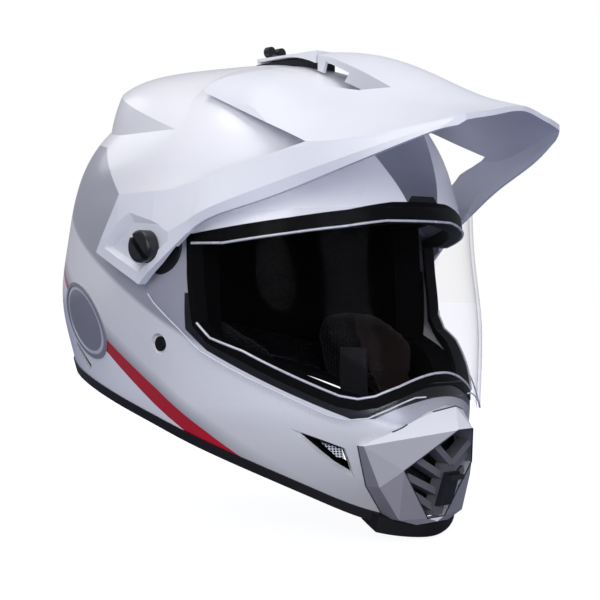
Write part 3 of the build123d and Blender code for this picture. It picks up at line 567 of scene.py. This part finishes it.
pads = {
    # voxel size, pressure of the cloth, and how far a point may move, in metres
    "cheek": (0.005, 4.0, 0.005), "crown": (0.005, 2.0, 0.002), "neck": (0.005, 3.0, 0.003),
    "cloth": {"quality": 4, "tension_stiffness": 12, "compression_stiffness": 12}, "steps": 20,
    "cheekShare": 0.955,  # drawn in by this before it swells
    # sewn channels in metres: (depth, width), and for the cheek a point (y, z) and the slope
    "seam": (0.003, 0.004), "seamPoint": (-0.004, -0.08), "seamSlope": 0.5,
    "lowSeam": (0.002, 0.0035), "lowHeight": -0.094, "lowSlope": 0.15,
    "crownSeam": (0.002, 0.005), "crownRows": (-0.03, 0.02, 0.07),
}


def swell(obj, voxel, pressure, cap):
    # remesh, blow up a little as cloth, and keep each point within cap of its start
    useModifier(obj, "REMESH", mode="VOXEL", voxel_size=voxel, use_smooth_shade=True)
    useModifier(obj, "SMOOTH", factor=0.5, iterations=3)
    start = [v.co.copy() for v in obj.data.vertices]
    cloth = obj.modifiers.new("cloth", "CLOTH")
    cloth.settings.use_pressure = True
    cloth.settings.uniform_pressure_force = pressure
    cloth.settings.effector_weights.gravity = 0.0
    for key, value in pads["cloth"].items():
        setattr(cloth.settings, key, value)
    scene = bpy.context.scene
    for step in range(1, pads["steps"] + 1):
        scene.frame_set(step)
    applyModifier(obj, cloth)
    scene.frame_set(1)
    for vertex, home in zip(obj.data.vertices, start):
        move = vertex.co - home
        if move.length > cap:
            vertex.co = home + move.normalized() * cap
    useModifier(obj, "SUBSURF", levels=1, render_levels=1)
    for face in obj.data.polygons:
        face.use_smooth = True


def shrink(obj, share):
    # draw a shape in towards its middle, in place
    lo = Vector([min(v.co[k] for v in obj.data.vertices) for k in range(3)])
    hi = Vector([max(v.co[k] for v in obj.data.vertices) for k in range(3)])
    middle = (lo + hi) / 2
    obj.data.transform(Matrix.Translation(middle) @ Matrix.Scale(share, 4) @ Matrix.Translation(-middle))


def groove(obj, away, depth, width):
    # press a sewn channel into a pad where away(point) is near zero
    for vertex in obj.data.vertices:
        off = abs(away(vertex.co)) / width
        if off < 1:
            vertex.co -= vertex.normal * depth * (1 - off * off) ** 2


def behindSeam(point):
    y, z = pads["seamPoint"]
    return point.y - y - (point.z - z) * pads["seamSlope"]


def overLowSeam(point):
    return point.z - pads["lowHeight"] + point.y * pads["lowSlope"]


def makePads():
    knitLook = clothLook("knitLining", lining["mesh"], 1.0)
    suedeLook = clothLook("suedeLining", lining["suede"], 0.0)
    for side in sides:
        pad = copyNode("cheekCushion_" + side, "cheek_pad_" + side)
        shrink(pad, pads["cheekShare"])
        swell(pad, *pads["cheek"])
        groove(pad, behindSeam, *pads["seam"])
        groove(pad, overLowSeam, *pads["lowSeam"])
        pad.data.materials.append(knitLook.material)
        pad.data.materials.append(suedeLook.material)
        for face in pad.data.polygons:
            behind = behindSeam(face.center) > 0
            face.material_index = int(behind == (side == "right"))
        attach(pad, "shell")
        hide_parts("cheek_pad_" + side)
    crown = copyNode("crownCushion", "crown_pad")
    swell(crown, *pads["crown"])
    for row in pads["crownRows"]:
        groove(crown, lambda p, row=row: p.y - row, *pads["crownSeam"])
    groove(crown, lambda p: p.x, *pads["crownSeam"])
    crown.data.materials.append(suedeLook.material)
    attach(crown, "shell")
    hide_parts("crown_pad")
    roll = copyNode("neckCushion", "neck_roll")
    swell(roll, *pads["neck"])
    roll.data.materials.append(knitLook.material)
    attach(roll, "shell")
    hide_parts("neck_roll")


webbing = {
    # the strap's middle line in mm, (x, z) at one y, down from its rivet and up the pad's face
    "route": [(106, -54), (106, -80), (102, -99), (95, -107), (80, -108.5), (63, -108), (58.3, -104),
              (58.3, -70)],
    "rounds": 2, "width": 25.0, "wall": 1.9, "place": 5.5, "edge": 0.4, "sharp": 1.2,
    "rib": 1.6, "threadBorder": 1.2,
    "colours": (rgb(10, 10, 11), rgb(34, 34, 37)), "bump": (0.7, 0.0005),
}


def roundRoute(points, rounds):
    # cut each corner at a quarter of its two sides, the ends stay
    for _ in range(rounds):
        cut = [points[0]]
        for first, second in zip(points, points[1:]):
            cut += [first.lerp(second, 0.25), first.lerp(second, 0.75)]
        points = cut + [points[-1]]
    return points


def strapCorners(route, k, way):
    # four corners of the strap's section at one point of its route
    p = webbing
    along = (route[min(k + 1, len(route) - 1)] - route[max(k - 1, 0)]).normalized()
    out = Vector((-along.z, 0, along.x)) * (p["wall"] / 2 * mm)
    corners = [route[k] + out * u + Vector((0, (p["place"] + v * p["width"] / 2) * mm, 0))
               for u, v in ((1, 1), (1, -1), (-1, -1), (-1, 1))]
    return [Vector((way * corner.x, corner.y, corner.z)) for corner in corners]


def makeStraps():
    p = webbing
    look = Finish("wovenWebbing", Roughness=0.85)
    x, y, z = look.axes()
    turn = 2 * math.pi / p["rib"]
    weave = look.maths("SINE", y * turn) * look.maths("SINE", (z + x) * turn)
    thread = look.fade(weave, p["threadBorder"])
    look.feed(Base_Color=look.blend(thread, *p["colours"]), Normal=look.bump(thread, *p["bump"]))
    route = roundRoute([Vector((across, 0, height)) * mm for across, height in p["route"]], p["rounds"])
    for side, way in sides.items():
        shape = bmesh.new()
        here = strapCorners(route, 0, way)
        end = shape.faces.new([shape.verts.new(corner) for corner in here])
        for k in range(1, len(route)):
            there = strapCorners(route, k, way)
            made = bmesh.ops.extrude_face_region(shape, geom=[end] + end.edges[:])["geom"]
            end = next(part for part in made if isinstance(part, bmesh.types.BMFace))
            for vertex in end.verts:  # each corner moves on to its own next place
                corner = min(range(len(here)), key=lambda n: (vertex.co - here[n]).length)
                vertex.co = there[corner]
            here = there
        bmesh.ops.recalc_face_normals(shape, faces=shape.faces)
        bent = [e for e in shape.edges if len(e.link_faces) == 2 and e.calc_face_angle(0) > p["sharp"]]
        bmesh.ops.bevel(shape, geom=bent, offset=p["edge"] * mm, affect="EDGES", segments=2,
                        profile=0.5, material=-1)
        mesh = bpy.data.meshes.new("chinWebbing_" + side)
        shape.to_mesh(mesh)
        shape.free()
        strap = addObject(mesh.name, mesh)
        mesh.materials.append(look.material)
        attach(strap, "shell")
        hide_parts("chin_strap_" + side)


makePads()
makeStraps()
print("pads and straps made")


bead = {"sharp": 0.6, "merge": 2e-6, "resolution": 2}  # least bend in radians, merge in metres


def edgeMiddle(edge):
    return (edge.verts[0].co + edge.verts[1].co) / 2


def facings(edge, ahead):
    # how much each of the edge's two faces looks away from an upright this far ahead of the pivots
    middle = edgeMiddle(edge)
    outward = Vector((middle.x, middle.y + ahead, 0)).normalized()
    return [face.normal.dot(outward) for face in edge.link_faces]


def beadAlong(name, source, pick, radius, look, body):
    # round bead along the picked sharp edges of a node
    shape = bmesh.new()
    shape.from_mesh(nodes[source].data)
    bmesh.ops.remove_doubles(shape, verts=shape.verts, dist=bead["merge"])
    keep = {e for e in shape.edges
            if len(e.link_faces) == 2 and e.calc_face_angle(0) > bead["sharp"] and pick(e)}
    drop = [e for e in shape.edges if e not in keep]
    bmesh.ops.delete(shape, geom=shape.faces[:], context="FACES_ONLY")
    bmesh.ops.delete(shape, geom=drop, context="EDGES")
    loose = [v for v in shape.verts if not v.link_edges]
    bmesh.ops.delete(shape, geom=loose, context="VERTS")
    mesh = bpy.data.meshes.new(name)
    shape.to_mesh(mesh)
    shape.free()
    print(name, "edges", len(mesh.edges))
    made = addObject(name, mesh)
    bpy.ops.object.select_all(action="DESELECT")
    made.select_set(True)
    bpy.context.view_layer.objects.active = made
    bpy.ops.object.convert(target="CURVE")
    made.data.bevel_depth = radius
    made.data.bevel_resolution = bead["resolution"]
    made.data.use_fill_caps = True
    bpy.ops.object.convert(target="MESH")
    for face in made.data.polygons:
        face.use_smooth = True
    made.data.materials.clear()
    made.data.materials.append(look.material)
    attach(made, body)


portLip = {
    # (y, z) in mm of the eye port's free outline in side view; the front is open at openFront
    "outline": [(-20.5, 0), (-40, 0), (-71, 5.5), (-93, 10), (-104, 13.5), (-150, 15), (-150, -76),
                (-121, -79), (-115, -86), (-108, -91.5), (-102, -93), (-95, -91), (-78, -80.5),
                (-52, -64.5), (-33.5, -57), (-25.5, -48), (-21.8, -20)],
    "openFront": -150, "near": 1.2,
    # lengths in metres; the rear uprights between these heights stay bare
    "ahead": 0.02, "facing": 0.75, "uprightRear": -0.033, "uprightHeights": (-0.046, -0.0015),
    "radius": 0.0008, "metal": 0.25, "rough": (0.22, 0.34), "cloud": (80.0, 3.0),
    "colours": (rgb(214, 214, 218), rgb(244, 244, 248)),
}


def nearOutline(point):
    y, z = point.y / mm, point.z / mm
    outline = portLip["outline"]
    for (y1, z1), (y2, z2) in zip(outline, outline[1:] + outline[:1]):
        if y1 == y2 == portLip["openFront"]:
            continue
        run, rise = y2 - y1, z2 - z1
        share = ((y - y1) * run + (z - z1) * rise) / (run * run + rise * rise)
        share = max(0.0, min(1.0, share))
        if math.hypot(y - y1 - share * run, z - z1 - share * rise) < portLip["near"]:
            return True
    return False


def makeLip():
    # silver lip along the free edge of the eye port's frame
    p = portLip
    look = mottled("silverLip", p["colours"], p["rough"], p["cloud"], Metallic=p["metal"])
    low, high = p["uprightHeights"]

    def onLip(edge):
        middle = edgeMiddle(edge)
        upright = middle.y > p["uprightRear"] and low < middle.z < high
        return max(facings(edge, p["ahead"])) > p["facing"] and nearOutline(middle) and not upright

    beadAlong("portLip", "port_gasket", onLip, p["radius"], look, "shell")


shieldEdge = {
    # lengths in metres; the bead stays below the top height and off the lifting tab
    "ahead": 0.02, "facing": 0.75, "top": -0.03, "tabHalf": 0.019, "tabFront": -0.11,
    "radius": 0.0005, "rough": (0.15, 0.25), "cloud": (80.0, 3.0),
    # light colours of the bead: painted highlight
    "colours": (rgb(206, 209, 216), rgb(240, 242, 247)),
}


def makeShieldEdge():
    # painted highlight: a light opaque bead along the clear sheet's edge, standing in for the light that
    # the edge catches
    p = shieldEdge
    look = mottled("shieldEdgePaintedHighlight", p["colours"], p["rough"], p["cloud"])

    def onEdge(edge):
        middle = edgeMiddle(edge)
        onTab = abs(middle.x) < p["tabHalf"] and middle.y < p["tabFront"]
        return max(facings(edge, p["ahead"])) > p["facing"] and middle.z < p["top"] and not onTab

    beadAlong("shieldEdge", "face_shield", onEdge, p["radius"], look, "shield")


mouthSeam = {
    # lengths in metres; the rim runs between a face that looks out and one that looks aside
    "ahead": 0.06, "middleHeight": -0.12, "heightShare": 0.4, "inFacing": 0.15, "outFacing": 0.4,
    "radius": 0.0004, "rough": 0.7, "cloud": (90.0, 2.0), "colours": (rgb(34, 34, 38), rgb(54, 54, 60)),
}


def makeSeam():
    # thin dark gap where the mouthpiece meets the shell
    p = mouthSeam
    look = mottled("seamShade", p["colours"], (p["rough"], p["rough"]), p["cloud"])

    def onRim(edge):
        middle = edgeMiddle(edge)
        height = (middle.z - p["middleHeight"]) * p["heightShare"]
        outward = Vector((middle.x, middle.y + p["ahead"], height)).normalized()
        facing = sorted(face.normal.dot(outward) for face in edge.link_faces)
        return facing[0] < p["inFacing"] and facing[1] > p["outFacing"]

    beadAlong("mouthSeam", "mouth_cover", onRim, p["radius"], look, "shell")


makeLip()
makeShieldEdge()
makeSeam()
print("trim made")
